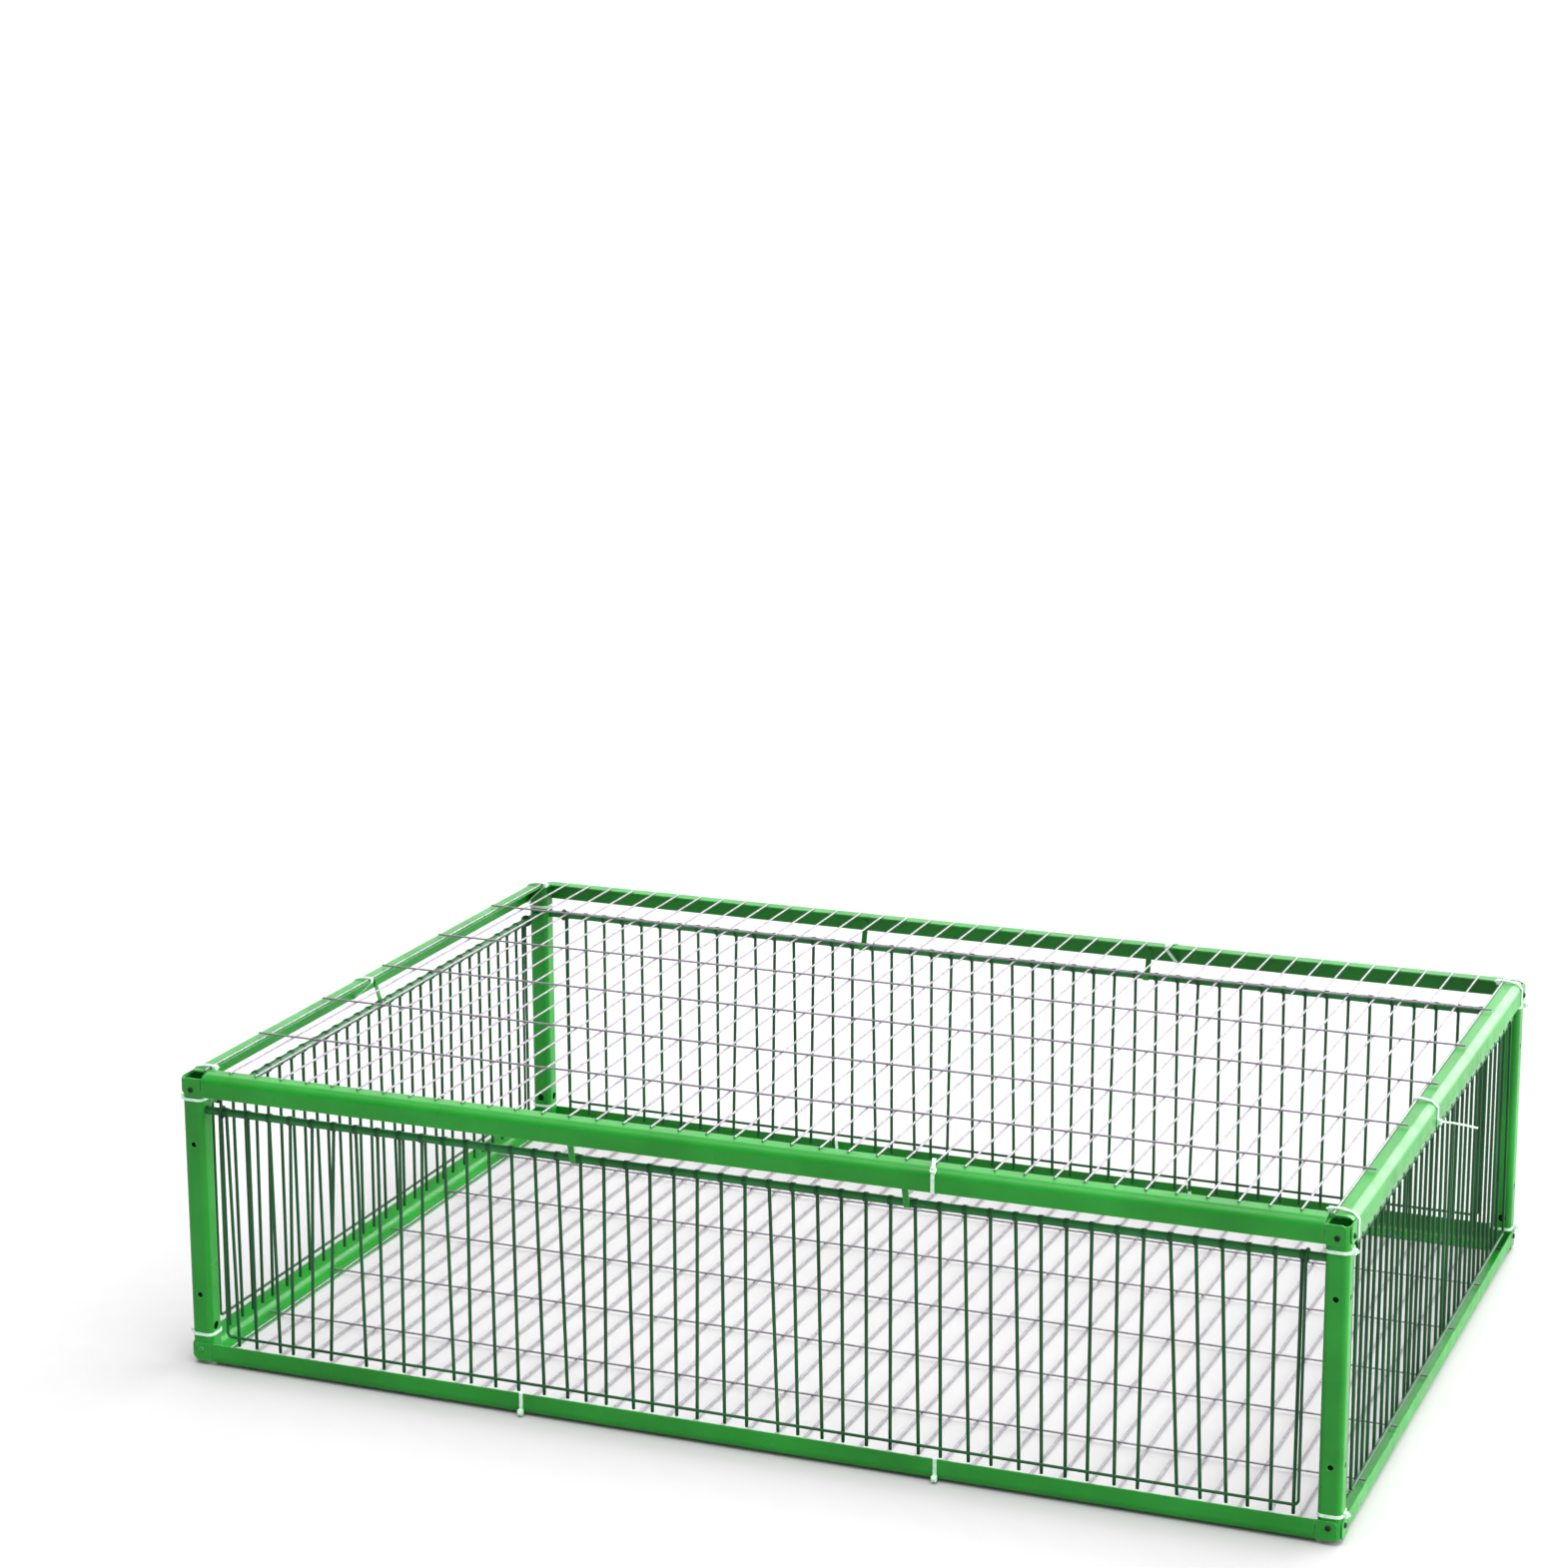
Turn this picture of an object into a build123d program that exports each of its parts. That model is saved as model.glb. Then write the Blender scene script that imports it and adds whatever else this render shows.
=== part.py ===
from build123d import *
import math
import os
import random

# Bob-wire pigeon trap cage. Millimetres. Origin at the centre of the base, +X right,
# +Y away from the front, +Z up. Front wall at y = -DEPTH / 2.

# ---- driving dimensions -------------------------------------------------------------
WIDTH = 1160.0            # over the side rails' outer faces
DEPTH = 800.0             # over the front and back rails' outer faces
HEIGHT = 300.0            # underside of the bottom rails to the top of the top rails
BASE = 1.0                # the strap of the lower ties stands between rail and floor

SHEET = 1.2               # sheet thickness of rails, posts and hangers
LEG = 22.0                # both legs of the rail's L section
BEND = 9.0                # outer bend radius of the rails
TAB_CUT = 3.5             # the tab starts this far from the rail's bend side
TAB_END = 4.0             # the tab ends this far short of the outer corner
TAB_R = 5.0               # rounded outer corners of the tab
LEG_GAP = 0.8             # the cut-back leg ends this far from the post
LEG_OVER = 8.8            # on the sides the leg goes on this far over the post's end
LEG_OVER_T = 3.2          # and keeps this much of the section's height there
NOTCH_W = 1.2             # pressed line across the rail's face where the tab begins
NOTCH_DEEP = 0.6

POST = 22.0               # square post
POST_R = 5.5              # its outer corner radius
POST_CUT = 4.6            # the post ends this far inside the rails' height
HOLE_D = 5.5              # plain fixing holes in the posts' outer faces
HOLE_UP = 72.0            # their height from either end
SCREW_UP = 15.5           # corner screws, from either end
SCREW_D = 4.0
SCREW_LEN = 8.0
SCREW_HEAD_D = 5.3
SCREW_HEAD_H = 1.6
SCREW_GAP = 0.05          # radial room round the screw's shank

ROD_D = 7.8               # pivot rod
ROD_IN = 11.0             # rod's axis behind the wall's outer face
ROD_UP = 262.0            # rod's axis above the rails' underside
ROD_HOLE_D = 8.8          # holes in the posts' inner faces
ROD_HOLE_LIFT = 0.45      # the rod lies near the bottom of its hole
ROD_TUCK = 6.7            # how far the rod's end goes past the post's inner face
SPARE_UP = 38.0           # spare rod holes low on the posts

BOB_D = 3.3               # bob wire
BOB_EYE_GAP = 0.06        # running clearance of the eye on the rod
BOB_EYE_T = 0.7           # flattened wire of the eye
BOB_EYE_W = 4.0
BOB_PITCH = 23.8
BOB_END_UP = 19.2         # lower end above the rails' underside
BOB_SLIDE = 0.4           # how far single wires have slid along the rod
BOB_LEAN = 1.3            # how many degrees single wires lean sideways
BOB_LEAN_CORNER = 0.18    # the same near the corners of the back wall
BOB_OPEN = 65.0           # degrees a wire swings inwards
FRONT_BOBS = 46
SIDE_BOBS = 30
FRONT_GROUPS = (6, 6, 6, 5, 5, 6, 6, 6)
SIDE_GROUPS = (6, 6, 6, 6, 6)
# sideways lean of each front wire, from left to right, in mm per 100 mm of its length
FRONT_LEAN = (
    1.7, 0.0, 1.1, -2.5, -3.4, -4.8, 1.4, -0.3, -1.1, -2.0, 1.7, -0.6,
    0.6, 0.8, 2.0, 2.5, 0.6, -0.6, 1.4, -0.3, 0.0, -1.1, 0.6, 0.0,
    3.1, 1.7, 1.7, 0.6, 0.3, 0.0, 1.7, 0.8, 2.0, 1.1, 2.3, 1.4,
    0.8, -0.3, 0.3, -0.6, 4.5, 3.7, 3.7, 2.0, 0.8, -0.6,
)

STOP_D = 2.8              # stop wire
STOP_IN = 4.5             # its bar behind the wall's outer face
STOP_UP = 31.0            # its bar above the rails' underside
STOP_PAST = 4.2           # its legs beyond the last bob
STOP_R = 5.0              # bend between leg and bar
STOP_EYE_TURN = 295.0     # degrees of the eye round the rod
STOP_EYE_GAP = 0.03

HANGER_W = 6.0
HANGER_UP = 12.0          # how far it goes up behind the rail
HANGER_GAP = 0.05
HANGERS = {               # hangers along each rod, between two bobs
    "front": (-160.5, 171.8), "back": (-166.6, 166.6), "left": (0.0,), "right": (0.0,),
}

MESH_D = 2.0              # welded mesh wire
MESH_NX = 41              # wires that run front to back
MESH_NY = 5               # wires that run left to right
MESH_X = 560.0            # outermost front-to-back wires, on the side rails' legs
MESH_Y = 262.0            # outermost left-to-right wires
MESH_END_X = 570.0        # ends of the left-to-right wires
MESH_END_Y = 385.0        # ends of the front-to-back wires
MESH_WELD = 0.3           # the wires are pressed into each other at the welds

TIE_W = 3.5
POST_TIE_W = 2.8
TIE_T = 0.95
TIE_GAP = 0.05
TIE_HEAD = (5.2, 4.0, 5.4)
# ties along the front and back rails: place on the rail's face, and how far the strap goes
# sideways on its way to the leg's edge, across the end of a mesh wire
TOP_TIE = (198.8, -6.2)
LOW_TIES = ((-216.7, -11.4), (202.4, -10.4))
SIDE_TOP_TIE = 48.0       # tie on the left and right top rails
SIDE_END_TIE = 373.2      # ties at the ends of the left and right top rails
TAILS = {"right": 34.0, "left": 24.0}   # loose tail of that tie
TAIL_SAG = 2.4
POST_TIES = {             # heights of the two ties round each post
    "front_right": (27.3, 272.2), "front_left": (31.7, 275.2),
    "back_right": (26.6, 274.0), "back_left": (29.0, 273.0),
}

W2, D2 = WIDTH / 2, DEPTH / 2
Z0 = BASE
Z1 = BASE + HEIGHT
ROD_Z = Z0 + ROD_UP
ROD_R = ROD_D / 2

os.makedirs("parts", exist_ok=True)

# The four walls: turn about Z from the front wall's own frame, distance of the outer face
# from the middle, half length of the wall, half depth across, wires.
WALLS = {
    "front": dict(turn=0, out=D2, half=W2, bobs=FRONT_BOBS, groups=FRONT_GROUPS),
    "right": dict(turn=90, out=W2, half=D2, bobs=SIDE_BOBS, groups=SIDE_GROUPS),
    "back": dict(turn=180, out=D2, half=W2, bobs=FRONT_BOBS, groups=FRONT_GROUPS),
    "left": dict(turn=270, out=W2, half=D2, bobs=SIDE_BOBS, groups=SIDE_GROUPS),
}


def place(shape, wall):
    return Rot(0, 0, wall["turn"]) * shape


def along_x(sketch_yz, x0, x1):
    """Solid from x0 to x1 of a sketch drawn with its x as the model's y and its y as z."""
    return extrude(Plane(origin=(x0, 0, 0), x_dir=(0, 1, 0), z_dir=(1, 0, 0)) * sketch_yz, x1 - x0)


def write(node, shape):
    solids = shape if isinstance(shape, list) else [shape]
    flat = []
    for s in solids:
        flat.extend(s.solids())
    out = flat[0] if len(flat) == 1 else Compound(flat)
    out.label = node
    export_step(out, f"parts/{node}.step")


# ---- rails --------------------------------------------------------------------------
def rail(wall, top):
    """L-angle in the front wall's frame; the bend is on top of a top rail and at the bottom of a bottom rail."""
    out, half = wall["out"], wall["half"]
    pts = [(0, 0), (0, LEG), (SHEET, LEG), (SHEET, SHEET), (LEG, SHEET), (LEG, 0)]
    section = make_face(Polyline(*pts, close=True))
    corner = section.vertices().sort_by_distance((0, 0))[0]
    section = fillet(corner, BEND)
    inner = section.vertices().sort_by_distance((SHEET, SHEET))[0]
    section = fillet(inner, BEND - SHEET)
    sketch = Pos(-out, Z0) * section if not top else Pos(-out, Z1) * mirror(section, about=Plane.XZ)
    inner_end = half - SHEET - POST - LEG_GAP
    body = along_x(sketch, -inner_end, inner_end)
    za, zb = (Z0 + TAB_CUT, Z0 + LEG) if not top else (Z1 - LEG, Z1 - TAB_CUT)
    tab_end = half - TAB_END
    tab = Pos(0, (za + zb) / 2) * (RectangleRounded(2 * tab_end, zb - za, TAB_R) - Rectangle(2 * inner_end, 2 * LEG))
    body = body + Pos(0, -out, 0) * extrude(Plane.XZ * tab, -SHEET)
    if wall["half"] < wall["out"]:
        level = Z1 if top else Z0
        flat = sketch & Pos(LEG / 2 - out, level) * Rectangle(2 * LEG, 2 * LEG_OVER_T)
        body = body + along_x(flat, inner_end, inner_end + LEG_OVER) + along_x(flat, -inner_end - LEG_OVER, -inner_end)
    z = Z0 + SCREW_UP if not top else Z1 - SCREW_UP
    for s in (-1, 1):
        body = body - Pos(s * (inner_end + 0.3 * NOTCH_W), -out, (za + zb) / 2) * Box(NOTCH_W, 2 * NOTCH_DEEP, 2 * LEG)
    for s in (-1, 1):
        x = s * (half - SHEET - POST / 2)
        body = body - Pos(x, -out, z) * Rot(90, 0, 0) * Cylinder(SCREW_D / 2 + SCREW_GAP, 6)
    return body


for name, wall in WALLS.items():
    write(f"{name}_top_rail", place(rail(wall, True), wall))
    write(f"{name}_bottom_rail", place(rail(wall, False), wall))


# ---- posts --------------------------------------------------------------------------
def post():
    """Front right post: outer faces towards -Y and +X."""
    cx, cy = W2 - SHEET - POST / 2, -(D2 - SHEET - POST / 2)
    za, zb = Z0 + POST_CUT, Z1 - POST_CUT
    section = RectangleRounded(POST, POST, POST_R) - RectangleRounded(POST - 2 * SHEET, POST - 2 * SHEET, POST_R - SHEET)
    body = Pos(cx, cy, za) * extrude(section, zb - za)
    for z in (Z0 + HOLE_UP, Z1 - HOLE_UP):
        body -= Pos(cx, cy - POST / 2, z) * Rot(90, 0, 0) * Cylinder(HOLE_D / 2, 6)
        body -= Pos(cx + POST / 2, cy, z) * Rot(0, 90, 0) * Cylinder(HOLE_D / 2, 6)
    for z in (Z0 + SCREW_UP, Z1 - SCREW_UP):
        body -= Pos(cx, cy - POST / 2, z) * Rot(90, 0, 0) * Cylinder(SCREW_D / 2 + SCREW_GAP, 6)
        body -= Pos(cx + POST / 2, cy, z) * Rot(0, 90, 0) * Cylinder(SCREW_D / 2 + SCREW_GAP, 6)
    for z in (ROD_Z + ROD_HOLE_LIFT, Z0 + SPARE_UP):
        body -= Pos(cx - POST / 2, -(D2 - ROD_IN), z) * Rot(0, 90, 0) * Cylinder(ROD_HOLE_D / 2, 6)
        body -= Pos(W2 - ROD_IN, cy + POST / 2, z) * Rot(90, 0, 0) * Cylinder(ROD_HOLE_D / 2, 6)
    return body


front_right = post()
write("front_right_post", front_right)
write("front_left_post", mirror(front_right, about=Plane.YZ))
write("back_right_post", mirror(front_right, about=Plane.XZ))
write("back_left_post", Rot(0, 0, 180) * front_right)


# ---- corner screws ------------------------------------------------------------------
def screw():
    """Pan-head screw pointing to +Y, its head's seat at y = 0."""
    head = Pos(0, -SCREW_HEAD_H / 2, 0) * Rot(90, 0, 0) * Cylinder(SCREW_HEAD_D / 2, SCREW_HEAD_H)
    head = fillet(head.faces().sort_by(Axis.Y)[0].edges(), SCREW_HEAD_H * 0.7)
    shank = Pos(0, SCREW_LEN / 2, 0) * Rot(90, 0, 0) * Cylinder(SCREW_D / 2, SCREW_LEN)
    shank = chamfer(shank.faces().sort_by(Axis.Y)[-1].edges(), 0.8)
    cross = Box(3.4, 1.4, 0.8) + Box(0.8, 1.4, 3.4)
    return head + shank - Pos(0, -SCREW_HEAD_H, 0) * cross


one_screw = screw()
screws = []
for wall in WALLS.values():
    for s in (-1, 1):
        for z in (Z0 + SCREW_UP, Z1 - SCREW_UP):
            x = s * (wall["half"] - SHEET - POST / 2)
            screws.append(place(Pos(x, -wall["out"], z) * one_screw, wall))
write("corner_screws", screws)

# ---- pivot rods ---------------------------------------------------------------------
for name, wall in WALLS.items():
    length = 2 * (wall["half"] - SHEET - POST + ROD_TUCK)
    rod = Rot(0, 90, 0) * Cylinder(ROD_R, length)
    rod = chamfer(rod.edges(), 0.4)
    write(f"{name}_pivot_rod", place(Pos(0, -(wall["out"] - ROD_IN), ROD_Z) * rod, wall))


# ---- bobs ---------------------------------------------------------------------------
EYE_IN = ROD_R + BOB_EYE_GAP
EYE_OUT = EYE_IN + BOB_EYE_T
eye = Rot(0, 90, 0) * (Cylinder(EYE_OUT, BOB_EYE_W) - Cylinder(EYE_IN, BOB_EYE_W))
STEM_TOP = EYE_IN + 0.4
STEM_LEN = ROD_UP - BOB_END_UP - STEM_TOP
stem = Pos(0, 0, -STEM_TOP - STEM_LEN / 2) * Cylinder(BOB_D / 2, STEM_LEN)
stem = fillet(stem.faces().sort_by(Axis.Z)[0].edges(), 0.6)

rng = random.Random(23)
OPEN_SIN = math.sin(math.radians(BOB_OPEN))
REACH = (ROD_UP - BOB_END_UP + 6) * OPEN_SIN       # how far inwards an open wire reaches


def rod_places(n):
    return [(i - (n - 1) / 2) * BOB_PITCH + rng.uniform(-BOB_SLIDE, BOB_SLIDE) for i in range(n)]


def go_between(y, side):
    """Slide and lean that take a side wire midway between two open front wires; side is 1 on the right, -1 on the left."""
    front_y = -(D2 - ROD_IN)
    meet = sorted(front_y + (W2 - ROD_IN - side * x) * OPEN_SIN / (OPEN_SIN + side * k) for x, k in zip(front_x, front_k))
    after = next(i for i, m in enumerate(meet) if m > y)
    middle = (meet[after - 1] + meet[after]) / 2
    slide = (middle - y) * max(0.0, min(1.0, 1.6 - (middle - front_y) / 90))
    return slide, (middle - y - slide) * OPEN_SIN / (middle - front_y)


front_x = rod_places(FRONT_BOBS)
front_k = [v / 100 for v in FRONT_LEAN]
for name, wall in WALLS.items():
    xs = front_x if name == "front" else rod_places(wall["bobs"])
    wires = []
    for i, x in enumerate(xs):
        # near a corner the wires of the two walls lean so that they pass between each other
        near_corner = abs(x) > wall["half"] - ROD_IN - REACH
        side = {"right": 1, "left": -1}.get(name, 0)
        if name == "front":
            slope = front_k[i]
        elif side and near_corner and side * x < 0:
            slide, slope = go_between(side * x, side)
            x, slope = x + side * slide, side * slope
        else:
            most = BOB_LEAN_CORNER if near_corner else BOB_LEAN
            slope = math.tan(math.radians(rng.uniform(-most, most)))
        tilt = -math.degrees(math.atan(slope))
        wires.append(Pos(x, -(wall["out"] - ROD_IN), ROD_Z) * (eye + Rot(0, tilt, 0) * stem))
    first = 0
    for g, count in enumerate(wall["groups"], 1):
        write(f"{name}_bobs_{g}", [place(w, wall) for w in wires[first:first + count]])
        first += count


# ---- stop wires ---------------------------------------------------------------------
def stop_wire(wall):
    """U of wire outside the bobs, with an eye round the rod at the top of each leg."""
    x = (wall["bobs"] - 1) / 2 * BOB_PITCH + STOP_PAST
    rm = ROD_R + STOP_EYE_GAP + STOP_D / 2
    by, bz = ROD_IN - STOP_IN, ROD_UP - STOP_UP          # bar below and outside the rod's axis
    dist, turn = math.hypot(by, bz), math.atan2(bz, by)   # seen from the axis, y outwards, z down
    a = turn - math.acos(rm / dist)                       # direction of the tangent point
    ty, tz = rm * math.cos(a), rm * math.sin(a)

    def point(px, y_out, z_down):
        return Vector(px, -(wall["out"] - ROD_IN) - y_out, ROD_Z - z_down)

    def eye_arc(px):
        pts = []
        for k in (0.0, 0.5, 1.0):
            b = a - math.radians(STOP_EYE_TURN) * k
            pts.append(point(px, rm * math.cos(b), rm * math.sin(b)))
        return pts

    left, right = eye_arc(-x), eye_arc(x)
    u = FilletPolyline(point(-x, ty, tz), point(-x, by, bz), point(x, by, bz), point(x, ty, tz), radius=STOP_R)
    path = Wire([ThreePointArc(left[2], left[1], left[0])] + list(u.edges()) + [ThreePointArc(right[0], right[1], right[2])])
    start = Plane(origin=path @ 0, z_dir=path % 0)
    return sweep(start * Circle(STOP_D / 2), path=path)


for name, wall in WALLS.items():
    write(f"{name}_stop_wire", place(stop_wire(wall), wall))


# ---- rod hangers --------------------------------------------------------------------
def hanger(wall, x):
    """Strip behind the top rail's upright leg, hooked under the rod."""
    rm = ROD_R + HANGER_GAP + SHEET / 2
    ly = ROD_IN - SHEET - 0.02 - SHEET / 2                # strip's middle outside the axis
    knee = ROD_Z - Z1 + LEG                               # z down of the rail's lower edge (negative)
    dist, turn = math.hypot(ly, knee), math.atan2(knee, ly)
    a = turn + math.acos(rm / dist)
    path = FilletPolyline((-ly, -knee + HANGER_UP), (-ly, -knee), (-rm * math.cos(a), -rm * math.sin(a)), radius=4)
    b = a + math.radians(215)
    m = (a + b) / 2
    hook = ThreePointArc(
        (-rm * math.cos(a), -rm * math.sin(a)),
        (-rm * math.cos(m), -rm * math.sin(m)),
        (-rm * math.cos(b), -rm * math.sin(b)),
    )
    strip = trace(list(path.edges()) + [hook], SHEET)
    return along_x(Pos(-(wall["out"] - ROD_IN), ROD_Z) * strip, x - HANGER_W / 2, x + HANGER_W / 2)


hangers = []
for name, wall in WALLS.items():
    for x in HANGERS[name]:
        hangers.append(place(hanger(wall, x), wall))
write("rod_hangers", hangers)


# ---- welded meshes ------------------------------------------------------------------
def mesh_panel():
    """Panel with its underside at z = 0: front-to-back wires below, left-to-right wires welded on top."""
    r = MESH_D / 2
    ys = [Pos((i / (MESH_NX - 1) * 2 - 1) * MESH_X, 0, r) * Rot(90, 0, 0) * Cylinder(r, 2 * MESH_END_Y) for i in range(MESH_NX)]
    xs = [Pos(0, (i / (MESH_NY - 1) * 2 - 1) * MESH_Y, 3 * r - MESH_WELD) * Rot(0, 90, 0) * Cylinder(r, 2 * MESH_END_X) for i in range(MESH_NY)]
    return ys[0].fuse(*ys[1:], *xs)


panel = mesh_panel()
write("roof_mesh", Pos(0, 0, Z1) * panel)
write("floor_mesh", Pos(0, 0, Z0 + SHEET) * panel)


# ---- ties ---------------------------------------------------------------------------
def head(tail=0.0):
    """Tie head standing on y = 0 and pointing to -Y, its strap along z; tail is a loose end straight out of it."""
    w, t, h = TIE_HEAD
    block = Pos(0, -t / 2, 0) * Box(w, t, h)
    block = fillet(block.edges().filter_by(Axis.Y), 0.9)
    block = chamfer(block.faces().sort_by(Axis.Y)[0].edges(), 0.5)
    if not tail:
        return block + Pos(0, -t - 0.6, 0.6) * Box(TIE_W - 0.4, 2.4, TIE_T)
    path = ThreePointArc((0.6 - t, 0.6), (-t - tail / 2, 0.6 - TAIL_SAG * 0.2), (-t - tail, 0.6 - TAIL_SAG))
    return block + along_x(trace(path, TIE_T), 0.2 - TIE_W / 2, TIE_W / 2 - 0.2)


def rail_loop(wall, top, x, skew=0.0, tail=0.0, head_inside=False):
    """Tie round a rail and the mesh wire on its leg, in the front wall's frame."""
    k = BEND * (1 - math.tan(math.radians(22.5)))
    edge = LEG + 0.4
    pts = [(0, LEG), (0, k), (k, 0)]
    if top:
        # z is measured down from the top of the rail, so the wire lies at negative z
        pts += [(LEG - 7.4, -MESH_D), (LEG - 0.3, -MESH_D), (edge, -MESH_D + 0.9), (edge, SHEET + 0.6), (SHEET, LEG)]
    else:
        pts += [(edge, 0), (edge, SHEET + 0.6), (SHEET, LEG)]
    inner = make_face(Polyline(*pts, close=True))
    ring = offset(inner, TIE_GAP + TIE_T, kind=Kind.ARC) - offset(inner, TIE_GAP, kind=Kind.ARC)
    ring = Pos(-wall["out"], Z1) * mirror(ring, about=Plane.XZ) if top else Pos(-wall["out"], Z0) * ring
    skin = TIE_GAP + TIE_T / 2
    if head_inside:
        # on the leg's edge, pointing into the cage
        knob = Pos(x, -wall["out"] + edge + skin, Z1 + 0.4) * Rot(0, 0, 180) * head()
    elif tail:
        # low on the rail's face
        knob = Pos(x, -wall["out"] - skin, Z1 - LEG + 0.5 * TIE_HEAD[2] + 0.3) * head(tail)
    elif top:
        # on the bend, pointing up and out
        knob = Pos(x, -wall["out"] + k / 2 - 0.7 * skin, Z1 - k / 2 + 0.7 * skin) * Rot(-45, 0, 0) * head()
    else:
        # at the foot of the rail's face
        knob = Pos(x, -wall["out"] - skin, Z0 + 0.5 * TIE_HEAD[2] + 1.2) * head()
    w = TIE_W / 2
    if skew:
        # the strap leans sideways between the rail's face and the leg's edge
        side = [(x - w, -4), (x - w, 1.4), (x + skew - w, LEG - 0.4), (x + skew - w, LEG + 8)]
        plan = make_face(Polyline(*side, *[(px + TIE_W, py) for px, py in reversed(side)], close=True))
        body = along_x(ring, x - 30, x + 30) & Pos(0, -wall["out"], -20) * extrude(plan, HEIGHT + 60)
    else:
        body = along_x(ring, x - w, x + w)
    return body + knob


def post_loop(z):
    """Tie round the front right post; its head is on the post's right face."""
    cx, cy = W2 - SHEET - POST / 2, -(D2 - SHEET - POST / 2)
    a = POST + 2 * TIE_GAP
    b = a + 2 * TIE_T
    ring = RectangleRounded(b, b, POST_R + TIE_GAP + TIE_T) - RectangleRounded(a, a, POST_R + TIE_GAP)
    body = Pos(cx, cy, z - POST_TIE_W / 2) * extrude(ring, POST_TIE_W)
    knob = Pos(cx + POST / 2 + TIE_GAP + TIE_T / 2, cy - 2.6, z) * Rot(0, 0, 90) * Rot(0, 90, 0) * head()
    return body + knob


post_ties = []
for corner, heights in POST_TIES.items():
    for z in heights:
        tie = post_loop(z)
        if corner.endswith("left"):
            tie = mirror(tie, about=Plane.YZ)
        if corner.startswith("back"):
            tie = mirror(tie, about=Plane.XZ)
        post_ties.append(tie)
write("post_ties", post_ties)

top_ties, low_ties = [], []
for name, wall in WALLS.items():
    if name in ("front", "back"):
        s = 1 if name == "front" else -1
        top_ties.append(place(rail_loop(wall, True, s * TOP_TIE[0], s * TOP_TIE[1]), wall))
        for x, skew in LOW_TIES:
            low_ties.append(place(rail_loop(wall, False, x, skew), wall))
    else:
        # the tie with the loose tail is in front of the middle on both sides
        with_tail = -SIDE_TOP_TIE if name == "right" else SIDE_TOP_TIE
        for x in (-SIDE_END_TIE, with_tail, SIDE_END_TIE):
            if x == with_tail:
                tie = rail_loop(wall, True, x, tail=TAILS[name])
            else:
                tie = rail_loop(wall, True, x, head_inside=True)
            top_ties.append(place(tie, wall))
write("top_rail_ties", top_ties)
write("bottom_rail_ties", low_ties)
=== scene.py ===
import math

import bpy
from mathutils import Matrix, Vector

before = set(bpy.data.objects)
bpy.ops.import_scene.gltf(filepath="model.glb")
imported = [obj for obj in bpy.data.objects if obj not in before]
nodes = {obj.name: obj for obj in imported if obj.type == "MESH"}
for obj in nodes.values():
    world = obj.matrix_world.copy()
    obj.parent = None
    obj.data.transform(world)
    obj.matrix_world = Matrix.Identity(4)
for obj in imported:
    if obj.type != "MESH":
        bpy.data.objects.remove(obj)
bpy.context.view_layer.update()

scene = bpy.context.scene

SKY = ((0.05, 0.03), (0.2, 0.22), (0.35, 0.74), (0.65, 0.92), (0.95, 1.65))     # dark on the left, bright on the right
TOP_LIGHT = 3.2
RIGHT_LIGHT = 2.4
BACK_LIGHT = 5.6
LOW_LIGHT = 0.4


# ---- materials ----------------------------------------------------------------------
def srgb(r, g, b):
    def lin(v):
        v /= 255.0
        return v / 12.92 if v <= 0.04045 else ((v + 0.055) / 1.055) ** 2.4
    return (lin(r), lin(g), lin(b), 1.0)


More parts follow.
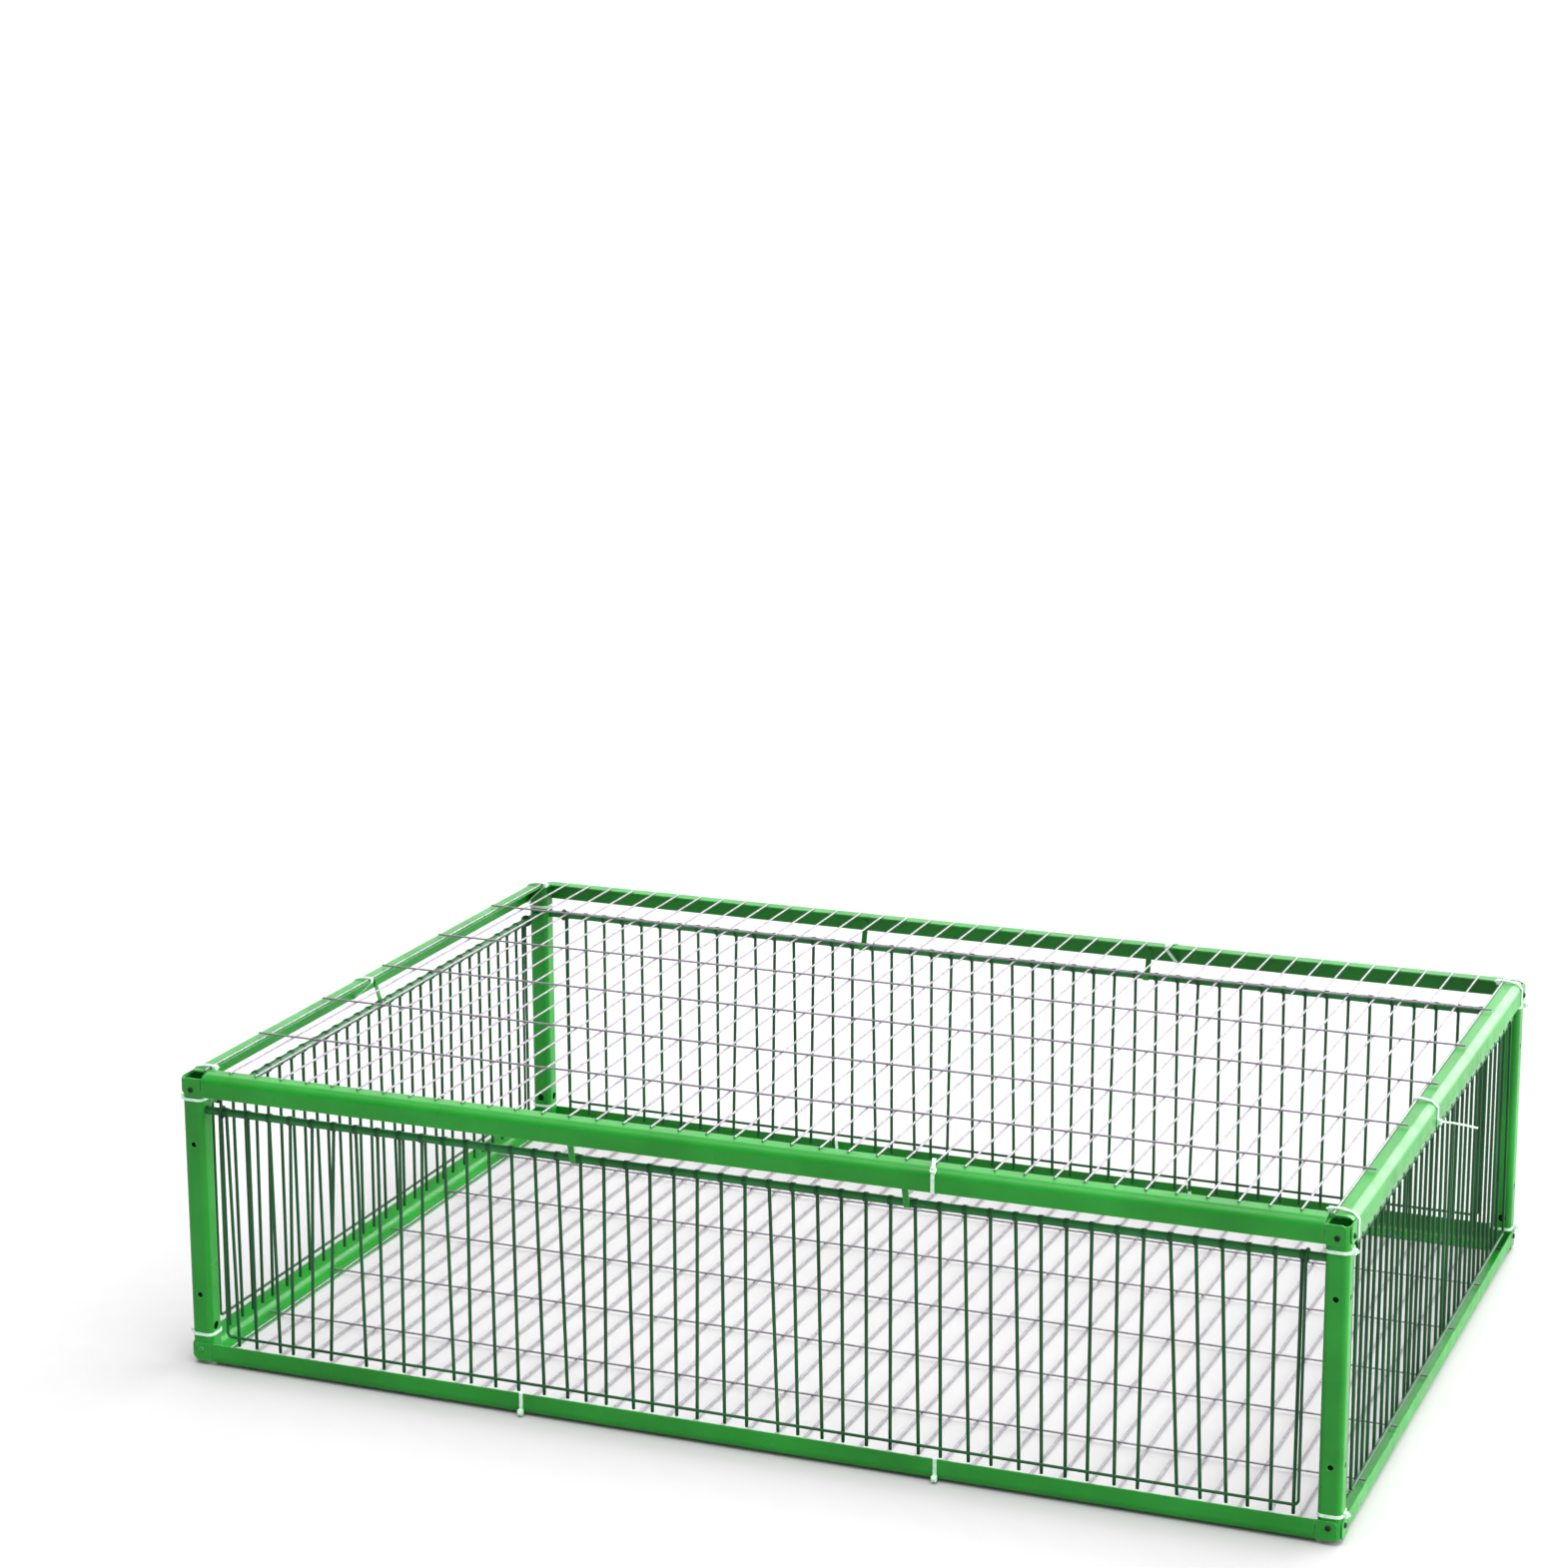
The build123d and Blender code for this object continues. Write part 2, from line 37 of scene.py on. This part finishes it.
class Mat:
    """A material with a Principled shader and short helpers for its nodes."""

    def __init__(self, name):
        self.mat = bpy.data.materials.new(name)
        self.mat.use_nodes = True
        self.nt = self.mat.node_tree
        self.bsdf = next(n for n in self.nt.nodes if n.type == "BSDF_PRINCIPLED")
        self.coord = self.nt.nodes.new("ShaderNodeTexCoord").outputs["Object"]

    def set(self, **values):
        for key, value in values.items():
            self.bsdf.inputs[key.replace("_", " ")].default_value = value

    def node(self, kind, **inputs):
        n = self.nt.nodes.new(kind)
        for key, value in inputs.items():
            n.inputs[key.replace("_", " ")].default_value = value
        return n

    def link(self, a, b):
        self.nt.links.new(a, b)

    def noise(self, scale, detail=2.0, rough=0.5, stretch=None):
        n = self.node("ShaderNodeTexNoise", Scale=scale, Detail=detail, Roughness=rough)
        if stretch:
            m = self.node("ShaderNodeMapping", Scale=stretch)
            self.link(self.coord, m.inputs["Vector"])
            self.link(m.outputs["Vector"], n.inputs["Vector"])
        else:
            self.link(self.coord, n.inputs["Vector"])
        return n.outputs["Fac"]

    def ramp(self, fac, stops):
        r = self.nt.nodes.new("ShaderNodeValToRGB")
        els = r.color_ramp.elements
        while len(els) < len(stops):
            els.new(0.5)
        for e, (p, c) in zip(els, stops):
            e.position, e.color = p, c
        self.link(fac, r.inputs["Fac"])
        return r.outputs["Color"]

    def span(self, fac, a, b, lo=0.3, hi=0.7):
        m = self.node("ShaderNodeMapRange", From_Min=lo, From_Max=hi, To_Min=a, To_Max=b)
        self.link(fac, m.inputs["Value"])
        return m.outputs["Result"]

    def mix(self, fac, a, b):
        m = self.nt.nodes.new("ShaderNodeMix")
        m.data_type = "RGBA"
        self.link(fac, m.inputs["Factor"])
        for socket, value in ((m.inputs[6], a), (m.inputs[7], b)):
            if isinstance(value, tuple):
                socket.default_value = value
            else:
                self.link(value, socket)
        return m.outputs[2]

    def bump(self, height, strength, distance, after=None):
        b = self.node("ShaderNodeBump", Strength=strength, Distance=distance)
        self.link(height, b.inputs["Height"])
        if after is not None:
            self.link(after, b.inputs["Normal"])
        return b.outputs["Normal"]

    def edge(self, radius):
        """1 where the surface turns within the radius, 0 on flat ground."""
        soft = self.node("ShaderNodeBevel", Radius=radius)
        soft.samples = 4
        flat = self.nt.nodes.new("ShaderNodeNewGeometry")
        dot = self.nt.nodes.new("ShaderNodeVectorMath")
        dot.operation = "DOT_PRODUCT"
        self.link(soft.outputs["Normal"], dot.inputs[0])
        self.link(flat.outputs["Normal"], dot.inputs[1])
        return self.span(dot.outputs["Value"], 0.0, 1.0, 0.985, 0.86)

    def hollow(self, reach):
        """1 on open ground, lower where other faces of the same piece stand close."""
        near = self.node("ShaderNodeAmbientOcclusion", Distance=reach)
        near.samples = 6
        near.only_local = True
        return near.outputs["AO"]

    def times(self, a, b):
        m = self.nt.nodes.new("ShaderNodeMath")
        m.operation = "MULTIPLY"
        self.link(a, m.inputs[0])
        self.link(b, m.inputs[1])
        return m.outputs["Value"]

    def to(self, name, socket):
        self.link(socket, self.bsdf.inputs[name])


def green_paint(name, dark, mid, light, worn, crevice_shade, rough, edge, gloss=0.33):
    """Gloss paint: broad drift of tone, thin pale paint along the edges, painted shade in the crevices, orange peel.
    """
    m = Mat(name)
    m.set(Specular_IOR_Level=gloss)
    drift = m.noise(9.0, 4.0, 0.55)
    tone = m.ramp(drift, [(0.32, dark), (0.5, mid), (0.7, light)])
    streak = m.span(m.noise(60.0, 3.0, 0.6, stretch=(0.12, 0.12, 1.0)), 0.0, 0.35, 0.5, 0.8)
    tone = m.mix(streak, tone, light)
    thin = m.edge(edge)
    patch = m.span(m.noise(170.0, 3.0, 0.6), 0.15, 1.0, 0.42, 0.62)
    open_ground = m.span(m.hollow(0.004), 0.0, 1.0, 0.35, 0.8)
    # painted shade: the tone darkens towards the shade colour where other faces of the same piece stand close
    tone = m.mix(open_ground, crevice_shade, tone)
    wear = m.times(m.times(thin, patch), open_ground)
    m.to("Base Color", m.mix(wear, tone, worn))
    m.to("Roughness", m.span(m.noise(45.0, 4.0), *rough))
    peel = m.bump(m.noise(420.0, 2.0), 0.06, 0.0003)
    m.to("Normal", m.bump(m.noise(24.0, 2.0), 0.05, 0.002, after=peel))
    return m.mat


def galvanised(name):
    """Drawn wire with a zinc coat: spangle, dull patches, fine pits."""
    m = Mat(name)
    m.set(Metallic=0.6, Specular_IOR_Level=0.4)
    spangle = m.nt.nodes.new("ShaderNodeTexVoronoi")
    spangle.inputs["Scale"].default_value = 380.0
    m.link(m.coord, spangle.inputs["Vector"])
    grey = m.nt.nodes.new("ShaderNodeSeparateColor")
    m.link(spangle.outputs["Color"], grey.inputs["Color"])
    base = m.ramp(grey.outputs["Red"], [(0.0, srgb(116, 111, 119)), (1.0, srgb(148, 142, 151))])
    dull = m.span(m.noise(60.0, 4.0), 0.0, 0.7, 0.45, 0.75)
    m.to("Base Color", m.mix(dull, base, srgb(120, 113, 121)))
    m.to("Roughness", m.span(m.noise(140.0, 3.0), 0.34, 0.58))
    m.to("Normal", m.bump(m.noise(700.0, 3.0), 0.15, 0.0002))
    return m.mat


def nylon(name):
    """Natural nylon: milky, with a green tint in its colour that is painted light from the green paint behind it,
    finely ribbed by the mould.
    """
    m = Mat(name)
    m.set(Subsurface_Weight=0.35, Subsurface_Scale=0.002, Specular_IOR_Level=0.45)
    m.bsdf.inputs["Subsurface Radius"].default_value = (0.8, 1.0, 0.85)
    # The green in the base colour is painted light: the glow of the green paint behind the tie.
    m.to("Base Color", m.ramp(m.noise(220.0, 3.0), [(0.3, srgb(172, 208, 181)), (0.7, srgb(206, 231, 212))]))
    m.to("Roughness", m.span(m.noise(400.0, 2.0), 0.32, 0.5))
    m.to("Normal", m.bump(m.noise(900.0, 2.0), 0.12, 0.0002))
    return m.mat


def screw_metal(name):
    """Blackened screw with traces of paint; the one low on the left is light green, green paint over it lightened into
    a painted highlight.
    """
    m = Mat(name)
    m.set(Metallic=0.2, Specular_IOR_Level=0.3)
    dark = m.ramp(m.noise(500.0, 4.0), [(0.35, srgb(6, 24, 10)), (0.7, srgb(20, 44, 24))])
    paint_and_highlight = m.ramp(m.noise(500.0, 4.0), [(0.35, srgb(40, 132, 60)), (0.7, srgb(86, 168, 106))])
    away = m.nt.nodes.new("ShaderNodeVectorMath")
    away.operation = "DISTANCE"
    m.link(m.coord, away.inputs[0])
    away.inputs[1].default_value = (-0.568, -0.4, 0.016)
    # The low left screw takes the light green: paint over it, lightened as a painted highlight.
    m.to("Base Color", m.mix(m.span(away.outputs["Value"], 0.0, 1.0, 0.009, 0.01), paint_and_highlight, dark))
    m.to("Roughness", m.span(m.noise(900.0, 3.0), 0.35, 0.6))
    m.to("Normal", m.bump(m.noise(1500.0, 2.0), 0.2, 0.0001))
    return m.mat


# Each paint's sixth colour is painted shade, laid into its crevices.
PAINT = green_paint("green_paint", srgb(13, 115, 23), srgb(17, 127, 30), srgb(24, 138, 38), srgb(96, 180, 106), srgb(8, 66, 20), (0.26, 0.42), 0.0011)
WIRE_PAINT = green_paint("green_wire_paint", srgb(13, 84, 34), srgb(18, 98, 42), srgb(28, 112, 52), srgb(70, 138, 88), srgb(8, 48, 22), (0.3, 0.46), 0.0006)
BOB_PAINT = green_paint("dark_bob_paint", srgb(11, 57, 26), srgb(15, 68, 32), srgb(23, 80, 41), srgb(56, 114, 72), srgb(7, 36, 17), (0.38, 0.54), 0.0006, 0.25)
ZINC = galvanised("galvanised_wire")
NYLON = nylon("white_nylon")
SCREW = screw_metal("dark_screw")


def material_of(node):
    if node.endswith("_mesh"):
        return ZINC
    if node.endswith("_ties"):
        return NYLON
    if node == "corner_screws":
        return SCREW
    if "bobs" in node or node.endswith("_wire"):
        return BOB_PAINT
    if node.endswith("_rod"):
        return WIRE_PAINT
    return PAINT


for name, obj in nodes.items():
    obj.data.materials.clear()
    obj.data.materials.append(material_of(name))


# ---- floor --------------------------------------------------------------------------
floor_mesh = bpy.data.meshes.new("floor")
S = 220.0
floor_mesh.from_pydata([(-S, -S, 0), (S, -S, 0), (S, S, 0), (-S, S, 0)], [], [(0, 1, 2, 3)])
floor = bpy.data.objects.new("floor", floor_mesh)
scene.collection.objects.link(floor)
m = Mat("floor_paper")
m.set(Specular_IOR_Level=0.2)
m.to("Base Color", m.ramp(m.noise(0.9, 2.0), [(0.3, (0.434, 0.429, 0.433, 1)), (0.7, (0.452, 0.448, 0.452, 1))]))
m.to("Roughness", m.span(m.noise(30.0, 3.0), 0.55, 0.7))
floor_mesh.materials.append(m.mat)

# ---- light --------------------------------------------------------------------------
# Soft sky that brightens towards the right; the backdrop itself is white.
world = bpy.data.worlds.new("studio")
world.use_nodes = True
scene.world = world
wt = world.node_tree
background = next(n for n in wt.nodes if n.type == "BACKGROUND")
sky = wt.nodes.new("ShaderNodeTexCoord")
toward = wt.nodes.new("ShaderNodeVectorMath")
toward.operation = "DOT_PRODUCT"
toward.inputs[1].default_value = (0.9, 0.3, 0.3)
wt.links.new(sky.outputs["Generated"], toward.inputs[0])
share = wt.nodes.new("ShaderNodeMapRange")
share.inputs["From Min"].default_value = -1.0
wt.links.new(toward.outputs["Value"], share.inputs["Value"])
level = wt.nodes.new("ShaderNodeFloatCurve")
points = level.mapping.curves[0].points
level.mapping.use_clip = False
while len(points) < len(SKY):
    points.new(0.5, 0.5)
for point, at in zip(points, SKY):
    point.location = at
    point.handle_type = "VECTOR"
level.mapping.update()
wt.links.new(share.outputs["Result"], level.inputs["Value"])
seen = wt.nodes.new("ShaderNodeLightPath")
pick = wt.nodes.new("ShaderNodeMix")
pick.data_type = "FLOAT"
wt.links.new(seen.outputs["Is Camera Ray"], pick.inputs[0])
wt.links.new(level.outputs["Value"], pick.inputs[2])
pick.inputs[3].default_value = 1.0
wt.links.new(pick.outputs[0], background.inputs["Strength"])
background.inputs["Color"].default_value = (1.0, 0.995, 0.998, 1)


def sun(name, source, strength, spread):
    light = bpy.data.lights.new(name, "SUN")
    light.energy = strength
    light.angle = math.radians(spread)
    obj = bpy.data.objects.new(name, light)
    scene.collection.objects.link(obj)
    obj.location = Vector(source).normalized() * 6
    obj.rotation_mode = "QUATERNION"
    obj.rotation_quaternion = (-Vector(source)).to_track_quat("-Z", "Y")
    return obj


sun("top_light", (0.1, -0.15, 1.0), TOP_LIGHT, 60)
sun("right_light", (1.0, 0.1, 0.2), RIGHT_LIGHT, 42)
sun("back_light", (0.5, 0.86, 0.12), BACK_LIGHT, 76)
sun("low_light", (-0.37, 0.9, 0.25), LOW_LIGHT, 50)

# ---- camera -------------------------------------------------------------------------
FOCAL_PX, IMAGE_PX = 3611.28, 1570.0
PITCH, ROLL, YAW = 0.231429, -0.004498, -0.383382
cp, sp = math.cos(PITCH), math.sin(PITCH)
cr, sr = math.cos(ROLL), math.sin(ROLL)
cy, sy = math.cos(YAW), math.sin(YAW)
turn = (
    Matrix(((cr, -sr, 0), (sr, cr, 0), (0, 0, 1)))
    @ Matrix(((1, 0, 0), (0, cp, -sp), (0, sp, cp)))
    @ Matrix(((1, 0, 0), (0, 0, -1), (0, 1, 0)))
    @ Matrix(((cy, -sy, 0), (sy, cy, 0), (0, 0, 1)))
)
right, up, back = turn[0], -turn[1], -turn[2]
camera_data = bpy.data.cameras.new("camera")
camera_data.sensor_fit = "HORIZONTAL"
camera_data.sensor_width = 36.0
camera_data.lens = FOCAL_PX / IMAGE_PX * 36.0
camera_data.clip_start, camera_data.clip_end = 0.05, 1000.0
camera = bpy.data.objects.new("camera", camera_data)
scene.collection.objects.link(camera)
camera.matrix_world = Matrix((
    (right[0], up[0], back[0], 1.2231),
    (right[1], up[1], back[1], -3.2912),
    (right[2], up[2], back[2], 1.3787),
    (0, 0, 0, 1),
))
scene.camera = camera
scene.view_settings.view_transform = "Standard"
